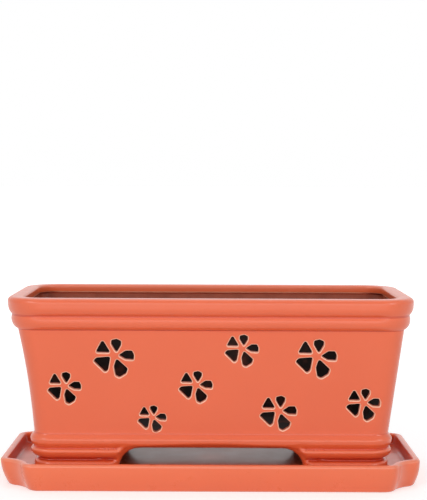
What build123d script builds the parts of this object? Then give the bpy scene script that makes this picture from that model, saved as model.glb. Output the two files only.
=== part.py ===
import os
from math import atan2, cos, degrees, radians, sin

from build123d import *

# A long glazed plant pot with flower-shaped air slots, standing in its own saucer.
# Millimetres, +Z up, X along the length, the front faces -Y, and the origin is on the
# ground under the middle of the saucer.

# Saucer: a tray whose four corners are scooped inwards, with walls that lean outwards.
# Before its edge is rounded, its top stands out beyond the pot's rim by these margins
saucer_end_margin = 6.6
saucer_side_margin = 2.9
saucer_height = 21.3
saucer_flare = 5.2
saucer_wall = 5.2
saucer_floor = 12.7
saucer_base_thickness = 5.2
saucer_foot_width = 5.4
scoop_radius = 20.0
scoop_tip_radius = 9.0
saucer_lip_round = 1.8
saucer_foot_round = 1.6
saucer_floor_round = 2.6
saucer_recess_round = 2.0
inner_tip_radius = 5.2

# Pot, at its rim
rim_length = 311.4
rim_depth = 136.0
rim_corner = 28.0
pot_height = 133.1

# The heavy band round the mouth, and the softer roll below it
band_height = 13.7
band_top_round = 3.5
band_low_round = 6.5
roll_height = 8.9
roll_setback = 2.6
roll_top_round = 1.8
roll_low_round = 5.0

# The leaning wall between the roll and the foot mouldings
wall_thickness = 5.2
wall_top_setback = 8.0
wall_base_setback = 18.4
wall_corner = 13.0
base_mould_height = 28.8

# The three mouldings at the foot, from the top down
upper_bead_height = 11.7
upper_bead_proud = 2.8
lower_bead_height = 8.2
lower_bead_proud = 2.4
foot_groove_height = 2.0
foot_band_round = 3.4
foot_edge_round = 1.2
groove_depth = 2.0
bead_round_share = 0.46

# Mouth: the lip inside the rim, thicker than the wall below it
lip_width = 12.5
lip_height = 6.5
lip_edge_round = 2.0
lip_low_round = 1.2

# Floor, the hollow under it and the arches through the foot, front and back
floor_thickness = 5.5
floor_round = 6.0
hollow_height = 18.2
foot_wall = 6.0
arch_half_width = 70.8
arch_height = 16.6
arch_corner = 16.2
arch_flare = 5.0
drain_radius = 7.0
drain_spacing = 82.0
drain_count = 3
mouth_steps = 3

# The slots: each flower is five petals, cut square to the wall. One petal is a list of
# corners and how round they are, as shares of the flower's width
petal_shares = [
    ([(-0.290, 0.443), (-0.472, 0.104), (-0.092, 0.096)], 0.040),
    ([(-0.084, 0.320), (-0.076, 0.424), (0.056, 0.457), (0.164, 0.402), (0.158, 0.297),
      (0.042, 0.096)], 0.030),
    ([(0.085, 0.040), (0.268, 0.163), (0.425, 0.163), (0.473, 0.055), (0.460, -0.080),
      (0.258, -0.068)], 0.026),
    ([(0.044, -0.030), (0.316, -0.292), (0.270, -0.424), (0.106, -0.527),
      (0.010, -0.474), (-0.027, -0.245)], 0.034),
    ([(-0.104, 0.012), (-0.445, -0.016), (-0.526, -0.103), (-0.236, -0.398),
      (-0.164, -0.326)], 0.034),
]

# Each flower: place along the wall as a share of its half length at mid height, place
# up the wall and width as shares of the wall's height
front_flower_shares = [
    (-0.511, 0.728, 0.381),
    (-0.779, 0.436, 0.319),
    (-0.313, 0.138, 0.270),
    (-0.078, 0.451, 0.318),
    (0.167, 0.802, 0.316),
    (0.564, 0.729, 0.384),
    (0.364, 0.202, 0.348),
    (0.818, 0.285, 0.322),
]
back_flower_shares = [
    (0.814, 0.723, 0.309),
    (0.646, 0.167, 0.284),
    (0.316, 0.365, 0.358),
    (0.211, 0.748, 0.334),
    (-0.140, 0.192, 0.321),
    (-0.400, 0.773, 0.346),
    (-0.702, 0.167, 0.297),
    (-0.835, 0.773, 0.297),
]
end_flower_shares = [
    (-0.330, 0.640, 0.360),
    (0.360, 0.330, 0.320),
]

# Cuts run past what they cut by this much
overrun = 4.0

# The saucer follows the pot that it holds
saucer_length = rim_length + 2 * saucer_end_margin
saucer_depth = rim_depth + 2 * saucer_side_margin

# Heights worked out from the sizes above
foot_z = saucer_floor
rim_z = foot_z + pot_height
band_z = rim_z - band_height
roll_z = band_z - roll_height
lip_z = rim_z - lip_height
wall_base_z = foot_z + base_mould_height
upper_bead_z = wall_base_z - upper_bead_height
lower_bead_z = upper_bead_z - lower_bead_height
hollow_z = foot_z + hollow_height
floor_z = hollow_z + floor_thickness
wall_height = roll_z - wall_base_z
wall_mid_z = (roll_z + wall_base_z) / 2

# How much the wall sets back at any height, and its lean from upright
wall_lean = (wall_base_setback - wall_top_setback) / wall_height
wall_angle = atan2(wall_base_setback - wall_top_setback, wall_height)
wall_mid_setback = (wall_top_setback + wall_base_setback) / 2


def setback_at(z):
    """How far the wall's outside lies in from the rim's outside at height z."""
    return wall_top_setback + (roll_z - z) * wall_lean


def rounded_plan(setback, corner):
    """The pot's plan, set back from the rim's outline, in the sketch that is open."""
    RectangleRounded(rim_length - 2 * setback, rim_depth - 2 * setback, corner)


def moulding(setback, corner, low_z, high_z, low_round, high_round):
    """A solid slab of the pot's plan with its lower and upper edges rounded."""
    with BuildPart() as slab:
        with BuildSketch(Plane.XY.offset(low_z)):
            rounded_plan(setback, corner)
        extrude(amount=high_z - low_z)
        fillet(slab.faces().sort_by(Axis.Z)[0].edges(), radius=low_round)
        fillet(slab.faces().sort_by(Axis.Z)[-1].edges(), radius=high_round)
    return slab.part


def leaning_block(low_z, high_z, inset, corner):
    """A block between two heights whose sides lean as the wall does, in by inset."""
    with BuildPart() as block:
        with BuildSketch():
            back = setback_at(high_z) + inset
            Rectangle(rim_length - 2 * back, rim_depth - 2 * back)
        extrude(amount=high_z - low_z, taper=degrees(wall_angle))
        fillet(block.edges().group_by(Axis.Z)[1], radius=corner)
    return Pos(0, 0, high_z) * Rot(180, 0, 0) * block.part


def arch_plan(grow):
    """The arch's outline, larger by grow, and its mirror image below the foot."""
    with Locations((0, foot_z)):
        RectangleRounded(
            2 * (arch_half_width + grow), 2 * (arch_height + grow), arch_corner + grow
        )


def petal(center_x, center_y, width, corners, round_share):
    """One petal of a flower of this width, as a sketch."""
    with BuildSketch() as outline:
        with BuildLine():
            Polyline(*[(center_x + width * x, center_y + width * y) for x, y in corners], close=True)
        make_face()
        fillet(outline.vertices(), radius=width * round_share)
    return outline.sketch


def tray_plan(inset):
    """The saucer's plan, in by inset: a rectangle whose corners are scooped away."""
    Rectangle(saucer_length - 2 * inset, saucer_depth - 2 * inset)
    with GridLocations(saucer_length, saucer_depth, 2, 2):
        Circle(scoop_radius + inset, mode=Mode.SUBTRACT)


def wall_plane(turn, half_span):
    """The outside of one wall, turned about Z from the front one, with Y up the wall."""
    out = half_span - wall_mid_setback
    way = Vector(0, -1, 0).rotate(Axis.Z, turn)
    normal = way * cos(wall_angle) - Vector(0, 0, 1) * sin(wall_angle)
    along = Vector(1, 0, 0).rotate(Axis.Z, turn)
    return Plane(origin=way * out + Vector(0, 0, wall_mid_z), x_dir=along, z_dir=normal)


walls = [
    (wall_plane(0, rim_depth / 2), rim_length / 2 - wall_mid_setback, front_flower_shares),
    (wall_plane(180, rim_depth / 2), rim_length / 2 - wall_mid_setback, back_flower_shares),
    (wall_plane(90, rim_length / 2), rim_depth / 2 - wall_mid_setback, end_flower_shares),
    (wall_plane(-90, rim_length / 2), rim_depth / 2 - wall_mid_setback, end_flower_shares),
]

rim_band = moulding(0, rim_corner, band_z, rim_z, band_low_round, band_top_round)
rim_roll = moulding(
    roll_setback,
    rim_corner - roll_setback,
    roll_z,
    band_z + band_low_round,
    roll_low_round,
    roll_top_round,
)
upper_bead = moulding(
    wall_base_setback - upper_bead_proud,
    wall_corner + upper_bead_proud,
    upper_bead_z,
    wall_base_z,
    upper_bead_height * bead_round_share,
    upper_bead_height * bead_round_share,
)
lower_bead = moulding(
    wall_base_setback - lower_bead_proud,
    wall_corner + lower_bead_proud,
    lower_bead_z,
    upper_bead_z,
    lower_bead_height * bead_round_share,
    lower_bead_height * bead_round_share,
)
foot_band = moulding(
    wall_base_setback,
    wall_corner,
    foot_z,
    lower_bead_z - foot_groove_height,
    foot_edge_round,
    foot_band_round,
)
wall_block = leaning_block(wall_base_z, band_z, 0, wall_corner)

with BuildPart() as cavity:
    add(leaning_block(floor_z, lip_z, wall_thickness, wall_corner - wall_thickness))
    fillet(cavity.faces().sort_by(Axis.Z)[0].edges(), radius=floor_round)

with BuildPart() as pot:
    # Foot core, a little inside the mouldings so that grooves stay between them
    with BuildSketch(Plane.XY.offset(foot_z)):
        rounded_plan(wall_base_setback + groove_depth, wall_corner - groove_depth)
    extrude(amount=wall_base_z - foot_z)
    for solid in (wall_block, rim_band, rim_roll, upper_bead, lower_bead, foot_band):
        add(solid)
    # Inside: the deep cavity up to the lip, then the mouth through the lip
    add(cavity.part, mode=Mode.SUBTRACT)
    with BuildSketch(Plane.XY.offset(lip_z)):
        rounded_plan(lip_width, rim_corner - lip_width)
    extrude(amount=lip_height + overrun, mode=Mode.SUBTRACT)
    lip_under, lip_top = pot.faces().filter_by(Axis.Z).sort_by(Axis.Z)[-2:]
    fillet(lip_top.inner_wires()[0].edges(), radius=lip_edge_round)
    fillet(lip_under.inner_wires()[0].edges(), radius=lip_low_round)
    # The hollow under the floor
    with BuildSketch(Plane.XY.offset(foot_z)):
        rounded_plan(wall_base_setback + foot_wall, wall_corner - foot_wall)
    extrude(amount=hollow_height, mode=Mode.SUBTRACT)
    # Arches through the foot, front and back, with mouths that roll outwards
    with BuildSketch(Plane.XZ.offset(rim_depth)):
        arch_plan(0)
    extrude(amount=-2 * rim_depth, mode=Mode.SUBTRACT)
    mouth_y = rim_depth / 2 - wall_base_setback + upper_bead_proud
    for face_out in (Plane.XZ, Plane.XZ.rotated((0, 0, 180))):
        for step in range(mouth_steps + 1):
            turn = radians(90 * step / mouth_steps)
            with BuildSketch(face_out.offset(mouth_y - arch_flare * (1 - cos(turn)))):
                arch_plan(arch_flare * (1 - sin(turn)))
        loft(ruled=True, mode=Mode.SUBTRACT)
    # Drain holes
    with BuildSketch(Plane.XY.offset(hollow_z - overrun)):
        with GridLocations(drain_spacing, 0, drain_count, 1):
            Circle(drain_radius)
    extrude(amount=floor_thickness + 2 * overrun, mode=Mode.SUBTRACT)
    # The slots
    for plane, half_span, flower_shares in walls:
        with BuildSketch(plane.offset(overrun)):
            for along_share, up_share, width_share in flower_shares:
                for corners, round_share in petal_shares:
                    add(
                        petal(
                            along_share * half_span,
                            (up_share - 0.5) * wall_height,
                            width_share * wall_height,
                            corners,
                            round_share,
                        )
                    )
        extrude(amount=-(wall_thickness + 2 * overrun), mode=Mode.SUBTRACT)
pot.part.label = "pot"

with BuildPart() as saucer:
    # Outside: the plan leans outwards from the ground to the rim
    for level, inset in ((0, saucer_flare), (saucer_height, 0)):
        with BuildSketch(Plane.XY.offset(level)) as plan:
            tray_plan(inset)
            fillet(plan.vertices(), radius=scoop_tip_radius)
    loft(ruled=True)
    # Inside: the same lean, one wall further in, down to the floor
    floor_inset = saucer_flare * (1 - saucer_floor / saucer_height)
    for level, inset in ((saucer_floor, floor_inset), (saucer_height, 0)):
        with BuildSketch(Plane.XY.offset(level)) as plan:
            tray_plan(inset + saucer_wall)
            fillet(plan.vertices(), radius=inner_tip_radius)
    loft(ruled=True, mode=Mode.SUBTRACT)
    ground, floor_top, rim_top = saucer.faces().filter_by(Axis.Z).sort_by(Axis.Z)
    fillet(floor_top.edges(), radius=saucer_floor_round)
    fillet(rim_top.edges(), radius=saucer_lip_round)
    # Underneath: a recess inside the foot, so that the floor is as thin as the walls
    with BuildSketch() as recess:
        tray_plan(saucer_flare + saucer_foot_width)
        fillet(recess.vertices(), radius=inner_tip_radius)
    extrude(amount=saucer_floor - saucer_base_thickness, mode=Mode.SUBTRACT)
    ground, recess_top = saucer.faces().filter_by(Axis.Z).sort_by(Axis.Z)[:2]
    fillet(recess_top.edges(), radius=saucer_recess_round)
    fillet(ground.outer_wire().edges(), radius=saucer_foot_round)
saucer.part.label = "saucer"

os.makedirs("parts", exist_ok=True)
for piece in (pot, saucer):
    export_step(piece.part, "parts/" + piece.part.label + ".step")
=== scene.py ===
import math

import bmesh
import bpy
import numpy as np
from mathutils import Matrix, Vector
from mathutils.geometry import delaunay_2d_cdt


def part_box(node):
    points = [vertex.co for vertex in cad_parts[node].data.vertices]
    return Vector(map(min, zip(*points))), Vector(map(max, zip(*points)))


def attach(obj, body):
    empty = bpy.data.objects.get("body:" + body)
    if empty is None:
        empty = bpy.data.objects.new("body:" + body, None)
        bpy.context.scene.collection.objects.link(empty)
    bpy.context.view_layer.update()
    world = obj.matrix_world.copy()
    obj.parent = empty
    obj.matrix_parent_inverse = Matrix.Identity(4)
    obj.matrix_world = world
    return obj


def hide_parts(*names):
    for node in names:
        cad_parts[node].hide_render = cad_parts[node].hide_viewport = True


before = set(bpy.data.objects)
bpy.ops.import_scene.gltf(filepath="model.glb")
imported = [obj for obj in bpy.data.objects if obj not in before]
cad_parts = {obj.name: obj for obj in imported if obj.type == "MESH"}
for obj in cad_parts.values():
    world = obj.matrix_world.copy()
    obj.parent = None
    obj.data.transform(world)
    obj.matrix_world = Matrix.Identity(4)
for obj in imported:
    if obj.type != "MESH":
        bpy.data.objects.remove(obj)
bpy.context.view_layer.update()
print("frame loaded")

# A long glazed plant pot with flower-shaped slots, in its own saucer. Sizes are in
# millimetres, heights are counted from the ground, and meshes are made in metres.
mm = 0.001


def nodeSize(node):
    # A CAD node's length, depth, bottom and top in millimetres, to a tenth.
    low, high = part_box(node)
    return [round(value / mm, 1) for value in (high[0] - low[0], high[1] - low[1], low[2], high[2])]


potLength, potDepth, potBottom, potTop = nodeSize("pot")

pot = {
    "rimLength": potLength,
    "rimDepth": potDepth,
    "footHeight": potBottom,    # the saucer's floor, which the foot stands on
    "rimHeight": potTop,
    "bandLow": 132.1,           # heavy band round the mouth
    "bandLowRound": 6.8,
    "bandTopRound": 3.5,
    "rollLow": 123.2,           # softer roll below the band
    "rollSetback": 2.6,
    "rollLowRound": 6.0,
    "rollTopRound": 4.4,
    "rollOverlap": 1.2,         # the roll runs on by this under the band and the wall
    "rollGroove": 3.5,          # setback at the bottom of the groove under the band
    "rollGrooveReach": (4.0, 5.0),      # that groove's floor, below and above the band's edge
    "wallTopSetback": 8.0,      # how far the wall lies in from the rim at the roll
    "wallBaseSetback": 18.4,    # and at the foot mouldings
    "wallBase": 41.5,
    "wallTail": 5.0,            # the wall's section runs on by this under the mouldings
    "wallCorner": 13.0,
    "rimCornerGain": 2.7,       # corners open out this much as the mouldings stand out,
    "footCornerGain": 1.0,      # at the rim and at the foot
    "wallThickness": 5.2,
    "wallDent": 0.45,           # the long walls sank in a little as they dried
    "upperBeadOut": 2.8,        # beads stand out from the foot by these
    "upperBeadCrest": 35.8,     # above its crest the bead runs out into the wall
    "upperBeadLow": 29.0,
    "upperBeadRound": 6.2,
    "beadGrooveOut": 0.5,       # the groove between the beads,
    "beadGrooveReach": 3.0,     # and how far it runs above and below the bead's edge
    "lowerBeadLow": 21.6,
    "lowerBeadOut": 2.4,
    "lowerBeadRounds": (5.4, 2.0),      # at its lower and its upper edge
    "footBandHigh": 19.6,
    "footBandOut": 0.1,
    "footBandRound": 3.4,
    "footEdgeRound": 1.2,
    "grooveDepth": 3.4,
    "soften": 0.7,              # clay that fills each inner corner between mouldings,
    "footSoften": 0.35,         # less of it over the band at the foot,
    "rimSoften": 3.0,           # and more under the band and the roll at the rim
    "lipSetback": 12.5,         # the mouth's inner face
    "lipHeight": 6.5,
    "lipEdgeRound": 2.0,
    "lipLowRound": 1.2,
    "lipFoot": 4.0,             # where the wall inside takes over, below the lip,
    "lipFootRound": 0.8,
    "lipWall": 12.0,            # and where its slotted part's own lean does
    "bandFlat": 0.5,            # flat stretch between the band's mouldings and its top round
    "mouthCorner": 16.0,
    "floorHeight": 36.4,
    "floorRound": 6.0,
    "floorMeets": 0.85,         # share of that round at which it meets the wall
    "floorCorner": 1.0,         # least corner radius of the floor
    "floorGap": 0.3,            # from the wall's last ring down to the round's first
    "hollowHeight": 30.9,
    "hollowSetback": 24.4,
    "hollowCorner": 7.0,
    "drainRadius": 7.0,
    "drainSpacing": 82.0,
    "drainRound": 1.2,
    "archHalfWidth": 70.8,
    "archTop": 29.3,
    "archCorner": 16.2,
    "archRollSide": 7.4,        # width of the roll into the arch at its sides
    "archRollTop": 5.0,         # and along its top
    "archLand": 0.8,            # flat land between the roll and the hollow
    "archFaceOut": 0.5,         # the foot's plain face beside the arch, out from the wall's foot
    "archFadeFrom": 0.25,       # the mouldings fade into that face, between these shares of
    "archFadeSide": 1.35,       # the roll's width: from here to here at its sides
    "archFadeTop": 0.90,        # or to here along its top
    "panelLow": 41.3,           # the slots lie between these two heights
    "panelHigh": 121.2,
    "slotRound": 0.85,
    "slotRoundShare": 0.42,     # of the gap to the next slot, where that is less
    "cutThin": 0.35,            # how pale the glaze is just inside a slot
    "cutShade": 0.8,            # how dark a slot's painted shade is where its inner round starts
    "shadeTop": 139.3,          # below this the inside is painted dark as shade
    "shadeDeep": 117.0,
    "shadeStart": 0.6,          # how dark that painted shade is at its top
    "shadeLag": 8.0,            # under the lip the painted shade's height is counted from this far down
    "pooledShadeShares": (0.2, 0.8),   # glaze gathers, with painted shade, in the foot's grooves between these shares of depth
    "hollowShade": 0.8,         # the hollow under the floor is painted dark as shade too
    "footShift": 0.8,           # the ware leans: its foot lies this much right of its rim
    "endSink": 1.8,             # the left end sank in as it dried, most at this height
    "endSinkHeight": 82.0,
    "endSinkReach": 46.0,       # and less above and below it
    "endSinkFrom": 118.0,       # along the length it grows between these two places
    "endSinkTo": 144.0,
}

# One petal: corners and roundness as shares of the flower's width
petalShares = [
    ([(-0.290, 0.443), (-0.472, 0.104), (-0.092, 0.096)], 0.040),
    ([(-0.084, 0.320), (-0.076, 0.424), (0.056, 0.457), (0.164, 0.402), (0.158, 0.297),
      (0.042, 0.096)], 0.030),
    ([(0.085, 0.040), (0.268, 0.163), (0.425, 0.163), (0.473, 0.055), (0.460, -0.080),
      (0.258, -0.068)], 0.026),
    ([(0.044, -0.030), (0.316, -0.292), (0.270, -0.424), (0.106, -0.527),
      (0.010, -0.474), (-0.027, -0.245)], 0.034),
    ([(-0.104, 0.012), (-0.445, -0.016), (-0.526, -0.103), (-0.236, -0.398),
      (-0.164, -0.326)], 0.034),
]

# Each flower: place along the wall as a share of its half length, place up the wall and
# width as shares of the wall's height
frontFlowerShares = [
    (-0.511, 0.728, 0.381), (-0.779, 0.436, 0.319), (-0.313, 0.138, 0.270),
    (-0.078, 0.451, 0.318), (0.167, 0.802, 0.316), (0.564, 0.729, 0.384),
    (0.364, 0.202, 0.348), (0.818, 0.285, 0.322),
]
backFlowerShares = [
    (0.814, 0.723, 0.309), (0.646, 0.167, 0.284), (0.316, 0.365, 0.358),
    (0.211, 0.748, 0.334), (-0.140, 0.192, 0.321), (-0.400, 0.773, 0.346),
    (-0.702, 0.167, 0.297), (-0.835, 0.773, 0.297),
]
endFlowerShares = [(-0.330, 0.640, 0.360), (0.360, 0.330, 0.320)]

detail = {
    "cornerSteps": 12,
    "longStepsOutside": 13,     # along a long side, each side of the arch
    "longStepsArch": 30,
    "endSteps": 26,
    "archShare": 0.72,          # the arch's patch ends at this share of the long side
    "footLevels": 46,
    "rimLevels": 34,
    "wallLevels": 25,
    "edgeTurn": 0.45,           # a bend sharper than this, per mm, shows a pale edge
    "edgeGain": 1.3,
    "grooveTurn": 0.10,
    "grooveGain": 1.1,
    "leastReach": 0.05,         # bends are measured over at least this length
    "sectionSamples": 4001,
    "bendWeight": 2.5,          # millimetres of step length that one radian of bend is worth
    "fall": 8.0,                # past its edges a moulding's section falls away this steeply,
    "openEnd": 20.0,            # and an edge that another one hides lies this far on,
    "plainRound": 1.0,          # with this round
    "petalCornerSteps": 5,
    "petalFinePoints": 132,     # of a petal's outline while it is eased,
    "petalSoftPasses": 4,       # so many times
    "slotPoints": 44,
    "slotNear": 30.0,           # slots are kept clear of others within this distance
    "slotEasePasses": 3,
    "slotClear": 1.3,           # from a slot's edge to the nearest point of the wall's grid
    "borderPoints": 900,        # along a panel's border, where its slots' edges are kept clear
    "slotOuterSteps": 4,
    "slotInnerSteps": 2,
    "rimRoundSteps": 6,
    "insideLevels": 5,
    "shadedPoints": 3,         # of the section, before the levels inside, that get the painted shade
    "floorRoundSteps": 7,
    "drainPoints": 40,
    "drainSteps": 4,
    "hollowLevels": 4,
    "archRollSteps": 8,
    "archPatchSteps": 17,
    "floorFill": (7.0, 2.0),    # flat fills: the grid's spacing and its distance from the loops
    "hollowFill": (9.0, 2.5),
    "soleFill": (8.0, 2.0),
    "trayFill": (12.0, 3.0),
    "borderBlock": 400,         # loop points that are measured at a time
    "sliver": 1e-4,             # a triangle of less than half this, in mm2, is left out
    "fillNear": 1e-7,           # points of a fill this close are one,
    "weld": 0.0002,             # and points of the whole skin this close,
    "mend": 0.0001,             # and edges this short are none
}


def newShell():
    # An empty mesh in the making: blocks of points, faces and marks for the glaze and the painted
    # shade.
    return {"points": [], "faces": [], "thinAndShade": [], "paintedShade": [], "count": 0}


def addPatch(shell, points, faces, thinAndShade, paintedShade=0):
    # Adds points (n, 3) in millimetres, faces (m, 3 or 4), how thin the glaze lies (below 0 where
    # it pools, with painted shade) and how dark the painted shade is.
    points = np.asarray(points, float).reshape(-1, 3)
    shell["points"].append(points)
    shell["faces"].append(np.asarray(faces) + shell["count"])
    for mark, value in (("thinAndShade", thinAndShade), ("paintedShade", paintedShade)):
        value = np.asarray(value, float).reshape(-1)
        shell[mark].append(np.broadcast_to(value, (len(points),)))
    shell["count"] += len(points)


def gridFaces(rows, columns, closed):
    # Quads of a grid of rows x columns points, its columns joined into a ring if closed.
    row = np.arange(rows - 1)[:, None]
    column = np.arange(columns if closed else columns - 1)[None, :]
    after = (column + 1) % columns
    low = row * columns
    high = low + columns
    return np.stack([low + column, low + after, high + after, high + column], -1).reshape(-1, 4)


def addGrid(shell, grid, thinAndShade, closed=False, paintedShade=0):
    # Adds a grid of points (rows, columns, 3), with its marks by row or by point.
    rows, columns = grid.shape[:2]
    marks = []
    for value in (thinAndShade, paintedShade):
        value = np.asarray(value, float)
        value = value if value.ndim == 2 else value.reshape(-1, 1)
        marks.append(np.broadcast_to(value, (rows, columns)))
    addPatch(shell, grid, gridFaces(rows, columns, closed), *marks)


def makePiece(name, shell):
    # Turns a shell into a mesh object: seams welded, faces outwards, smooth.
    points = np.concatenate(shell["points"]) * mm
    corners = np.concatenate([faces.reshape(-1) for faces in shell["faces"]])
    sizes = np.concatenate([np.full(len(faces), faces.shape[1]) for faces in shell["faces"]])
    mesh = bpy.data.meshes.new(name)
    mesh.vertices.add(len(points))
    mesh.vertices.foreach_set("co", points.reshape(-1))
    mesh.loops.add(len(corners))
    mesh.loops.foreach_set("vertex_index", corners.astype(np.int32))
    mesh.polygons.add(len(sizes))
    starts = np.concatenate([[0], np.cumsum(sizes)[:-1]])
    mesh.polygons.foreach_set("loop_start", starts.astype(np.int32))
    mesh.update(calc_edges=True)
    for mark in ("thinAndShade", "paintedShade"):
        mesh.attributes.new(mark, "FLOAT", "POINT")
        mesh.attributes[mark].data.foreach_set("value", np.concatenate(shell[mark]))
    work = bmesh.new()
    work.from_mesh(mesh)
    bmesh.ops.remove_doubles(work, verts=work.verts, dist=detail["weld"] * mm)
    bmesh.ops.dissolve_degenerate(work, edges=work.edges, dist=detail["mend"] * mm)
    openEdges = sum(len(edge.link_faces) != 2 for edge in work.edges)
    bmesh.ops.recalc_face_normals(work, faces=work.faces)
    if work.calc_volume(signed=True) < 0:
        bmesh.ops.reverse_faces(work, faces=work.faces)
    volume = work.calc_volume(signed=True)
    work.to_mesh(mesh)
    work.free()
    mesh.polygons.foreach_set("use_smooth", np.ones(len(mesh.polygons), bool))
    piece = bpy.data.objects.new(name, mesh)
    bpy.context.scene.collection.objects.link(piece)
    totals = np.empty(len(mesh.polygons), np.int32)
    mesh.polygons.foreach_get("loop_total", totals)
    volume = round(volume / (10 * mm) ** 3, 1)
    print(name, "triangles", np.sum(totals - 2), "open edges", openEdges, "cm3", volume)
    return piece


def smoothMax(first, second, soften):
    # The larger of two values, with the crease between them filled by a parabola.
    near = np.maximum(soften - np.abs(first - second), 0)
    return np.maximum(first, second) + near * near / (4 * soften)


def smoothStep(low, high, value):
    # 0 below low, 1 above high, and an even S between them.
    share = np.clip((value - low) / (high - low), 0, 1)
    return share * share * (3 - 2 * share)


def rollSection(height, low, high, out, lowRound, highRound):
    # How far a moulding stands out at each height: a face at out whose two edges are
    # quarter circles, and far inside above and below it.
    fromLow = np.clip(low + lowRound - height, 0, lowRound)
    fromHigh = np.clip(height - high + highRound, 0, highRound)
    face = out - lowRound + np.sqrt(lowRound**2 - fromLow**2)
    face = np.minimum(face, out - highRound + np.sqrt(highRound**2 - fromHigh**2))
    outside = np.maximum(low - height, 0) + np.maximum(height - high, 0)
    return face - detail["fall"] * outside


def leaning(points, ware, low, high):
    # Points of a ware that leans sideways: x + shift (1 - s), s the share of its height.
    share = (points[..., 2] - low) / (high - low)
    return points + np.stack([ware["footShift"] * (1 - share), 0 * share, 0 * share], -1)


def sunken(points):
    # The pot's points with its left end sunk in: x + sink (1 - ((z - h) / r)^2) S(-x), where
    # S is the even S from endSinkFrom to endSinkTo.
    level = (points[..., 2] - pot["endSinkHeight"]) / pot["endSinkReach"]
    along = smoothStep(pot["endSinkFrom"], pot["endSinkTo"], -points[..., 0])
    sink = pot["endSink"] * np.maximum(1 - level**2, 0) * along
    return points + np.stack([sink, 0 * sink, 0 * sink], -1)


def wallSetback(height):
    # Setback of the plain leaning wall: a straight line between its two ends.
    lean = (pot["wallBaseSetback"] - pot["wallTopSetback"]) / (pot["rollLow"] - pot["wallBase"])
    return pot["wallTopSetback"] + (pot["rollLow"] - height) * lean


def potSetback(height):
    # Setback of the pot's outside from the rim's outline: the mouldings, wall and core
    # are joined by smoothMax, with inward counted as negative.
    height = np.asarray(height, float)
    soften, base = pot["soften"], pot["wallBaseSetback"]
    fall, openEnd, plain = detail["fall"], detail["openEnd"], detail["plainRound"]
    wallTail = np.maximum(pot["wallBase"] - pot["wallTail"] - height, 0)
    wall = -wallSetback(height) - fall * wallTail
    band = rollSection(
        height, pot["bandLow"], pot["rimHeight"] + openEnd, 0, pot["bandLowRound"], plain
    )
    roll = rollSection(
        height, pot["rollLow"] - pot["rollOverlap"], pot["bandLow"] + pot["rollOverlap"],
        -pot["rollSetback"], pot["rollLowRound"], pot["rollTopRound"],
    )
    grooveBelow, grooveAbove = pot["rollGrooveReach"]
    groove = rollSection(
        height, pot["bandLow"] - grooveBelow, pot["bandLow"] + grooveAbove, -pot["rollGroove"],
        plain, plain,
    )
    out = smoothMax(band, roll, pot["rimSoften"])
    out = smoothMax(out, groove, soften)
    out = smoothMax(out, wall, pot["rimSoften"])
    # The upper bead's top is an S-shaped run-out that ends where the slotted wall begins
    crest = pot["upperBeadCrest"]
    upper = rollSection(
        height, pot["upperBeadLow"], pot["wallBase"] + openEnd, pot["upperBeadOut"] - base,
        pot["upperBeadRound"], plain,
    )
    rise = pot["upperBeadOut"] - base + wallSetback(crest)
    runOut = rise * (1 - smoothStep(crest, pot["panelLow"], height)) - wallSetback(height)
    upper = np.minimum(upper, runOut)
    between = rollSection(
        height, pot["upperBeadLow"] - pot["beadGrooveReach"],
        pot["upperBeadLow"] + pot["beadGrooveReach"], pot["beadGrooveOut"] - base, plain, plain,
    )
    lower = rollSection(
        height, pot["lowerBeadLow"], pot["upperBeadLow"], pot["lowerBeadOut"] - base,
        *pot["lowerBeadRounds"],
    )
    footBand = rollSection(
        height, pot["footHeight"], pot["footBandHigh"], pot["footBandOut"] - base,
        pot["footEdgeRound"], pot["footBandRound"],
    )
    core = -base - pot["grooveDepth"] - fall * np.maximum(height - pot["wallBase"], 0)
    core = core - fall * np.maximum(pot["footHeight"] + 2 * pot["footEdgeRound"] - height, 0)
    out = np.maximum(out, upper)
    for moulding in (lower, between, core):
        out = smoothMax(out, moulding, soften)
    return -smoothMax(out, footBand, pot["footSoften"])


def evenHeights(low, high, count):
    # Heights that divide the outside's section into steps of nearly equal length, with
    # shorter steps where the section bends.
    height = np.linspace(low, high, detail["sectionSamples"])
    setback = potSetback(height)
    slope = np.arctan(np.gradient(setback, height))
    length = np.hypot(np.diff(height), np.diff(setback))
    bend = np.abs(np.diff(slope))
    measure = np.concatenate([[0], np.cumsum(length + detail["bendWeight"] * bend)])
    return np.interp(np.linspace(0, measure[-1], count + 1), measure, height)


def sectionThinAndShade(setback, height):
    # How thin the glaze lies along a section: up to 1 on a sharp outer edge and down to -1
    # in a sharp groove, where the glaze pools and shade is painted, from the turn of the
    # section per millimetre. Soft bends keep 0.
    points = np.stack([setback, height], -1)
    step = np.diff(points, axis=0)
    angle = np.unwrap(np.arctan2(step[:, 1], -step[:, 0]))
    reach = 0.5 * (np.hypot(*step[1:].T) + np.hypot(*step[:-1].T))
    turn = np.concatenate([[0], np.diff(angle) / np.maximum(reach, detail["leastReach"]), [0]])
    edge = np.clip((turn - detail["edgeTurn"]) * detail["edgeGain"], 0, 1)
    return edge + np.clip((turn + detail["grooveTurn"]) * detail["grooveGain"], -1, 0)


def paintedShadeAt(height):
    # How dark the inside's painted shade is: dull red just under the lip, nearly black further
    # down.
    share = smoothStep(pot["shadeTop"], pot["shadeDeep"], height)
    return np.where(height < pot["shadeTop"], pot["shadeStart"], 0) * (1 - share) + share


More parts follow.
